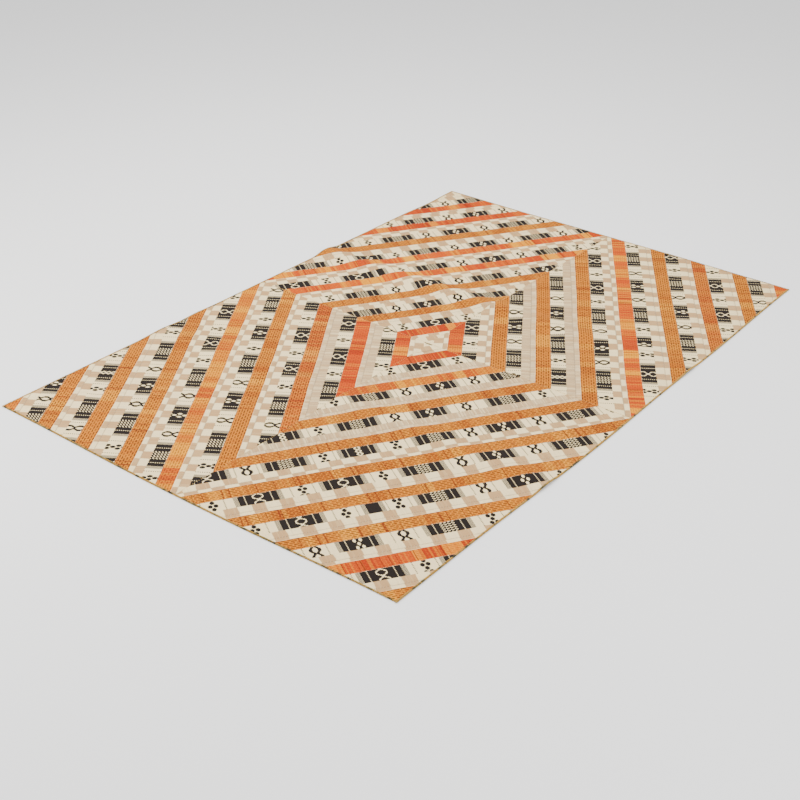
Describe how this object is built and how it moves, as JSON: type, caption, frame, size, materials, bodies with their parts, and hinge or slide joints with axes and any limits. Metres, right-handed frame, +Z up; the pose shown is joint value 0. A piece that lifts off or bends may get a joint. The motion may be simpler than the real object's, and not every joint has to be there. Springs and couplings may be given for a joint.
{
  "type": "patchwork kilim rug",
  "caption": "Flat-woven wool rug pieced from mitred woven strips as concentric diamonds, with an overcast yarn edge and soft fold ridges across it.",
  "frame": {"origin": "on the floor under the middle of the laid rug", "axes": "+X along the long side, +Y along the short side, +Z up from the floor"},
  "size_m": [3.083, 2.0467, 0.0205],
  "materials": {
    "woven_strip_tan_orange": "hand-woven wool, matt, tan-orange band with cream, beige and black motifs",
    "woven_strip_red_orange": "hand-woven wool, matt, red-orange band with cream, beige and black motifs",
    "woven_centre": "hand-woven wool, matt, cream and beige checks",
    "edge_yarn": "twisted wool yarn in gold with dark flecks, matt"
  },
  "bodies": {
    "root": {"back_left_centre": "woven_centre", "back_left_strip_1": "woven_strip_red_orange", "back_left_strip_2": "woven_strip_red_orange", "back_left_strip_3": "woven_strip_tan_orange", "back_left_strip_4": "woven_strip_tan_orange", "back_left_strip_5": "woven_strip_red_orange", "back_left_strip_6": "woven_strip_tan_orange", "back_left_strip_7": "woven_strip_tan_orange", "back_left_strip_8": "woven_strip_tan_orange", "back_left_corner": "woven_strip_tan_orange", "back_right_centre": "woven_centre", "back_right_strip_1": "woven_strip_red_orange", "back_right_strip_2": "woven_strip_tan_orange", "back_right_strip_3": "woven_strip_tan_orange", "back_right_strip_4": "woven_strip_red_orange", "back_right_strip_5": "woven_strip_red_orange", "back_right_strip_6": "woven_strip_tan_orange", "back_right_strip_7": "woven_strip_red_orange", "back_right_strip_8": "woven_strip_red_orange", "back_right_corner": "woven_strip_tan_orange", "front_left_centre": "woven_centre", "front_left_strip_1": "woven_strip_red_orange", "front_left_strip_2": "woven_strip_tan_orange", "front_left_strip_3": "woven_strip_tan_orange", "front_left_strip_4": "woven_strip_tan_orange", "front_left_strip_5": "woven_strip_tan_orange", "front_left_strip_6": "woven_strip_tan_orange", "front_left_strip_7": "woven_strip_tan_orange", "front_left_strip_8": "woven_strip_red_orange", "front_left_corner": "woven_strip_tan_orange", "front_right_centre": "woven_centre", "front_right_strip_1": "woven_strip_red_orange", "front_right_strip_2": "woven_strip_tan_orange", "front_right_strip_3": "woven_strip_tan_orange", "front_right_strip_4": "woven_strip_tan_orange", "front_right_strip_5": "woven_strip_red_orange", "front_right_strip_6": "woven_strip_tan_orange", "front_right_strip_7": "woven_strip_red_orange", "front_right_strip_8": "woven_strip_tan_orange", "front_right_corner": "woven_strip_tan_orange", "edge_yarn_front": "edge_yarn", "edge_yarn_back": "edge_yarn", "edge_yarn_left": "edge_yarn", "edge_yarn_right": "edge_yarn"}
  },
  "joints": []
}
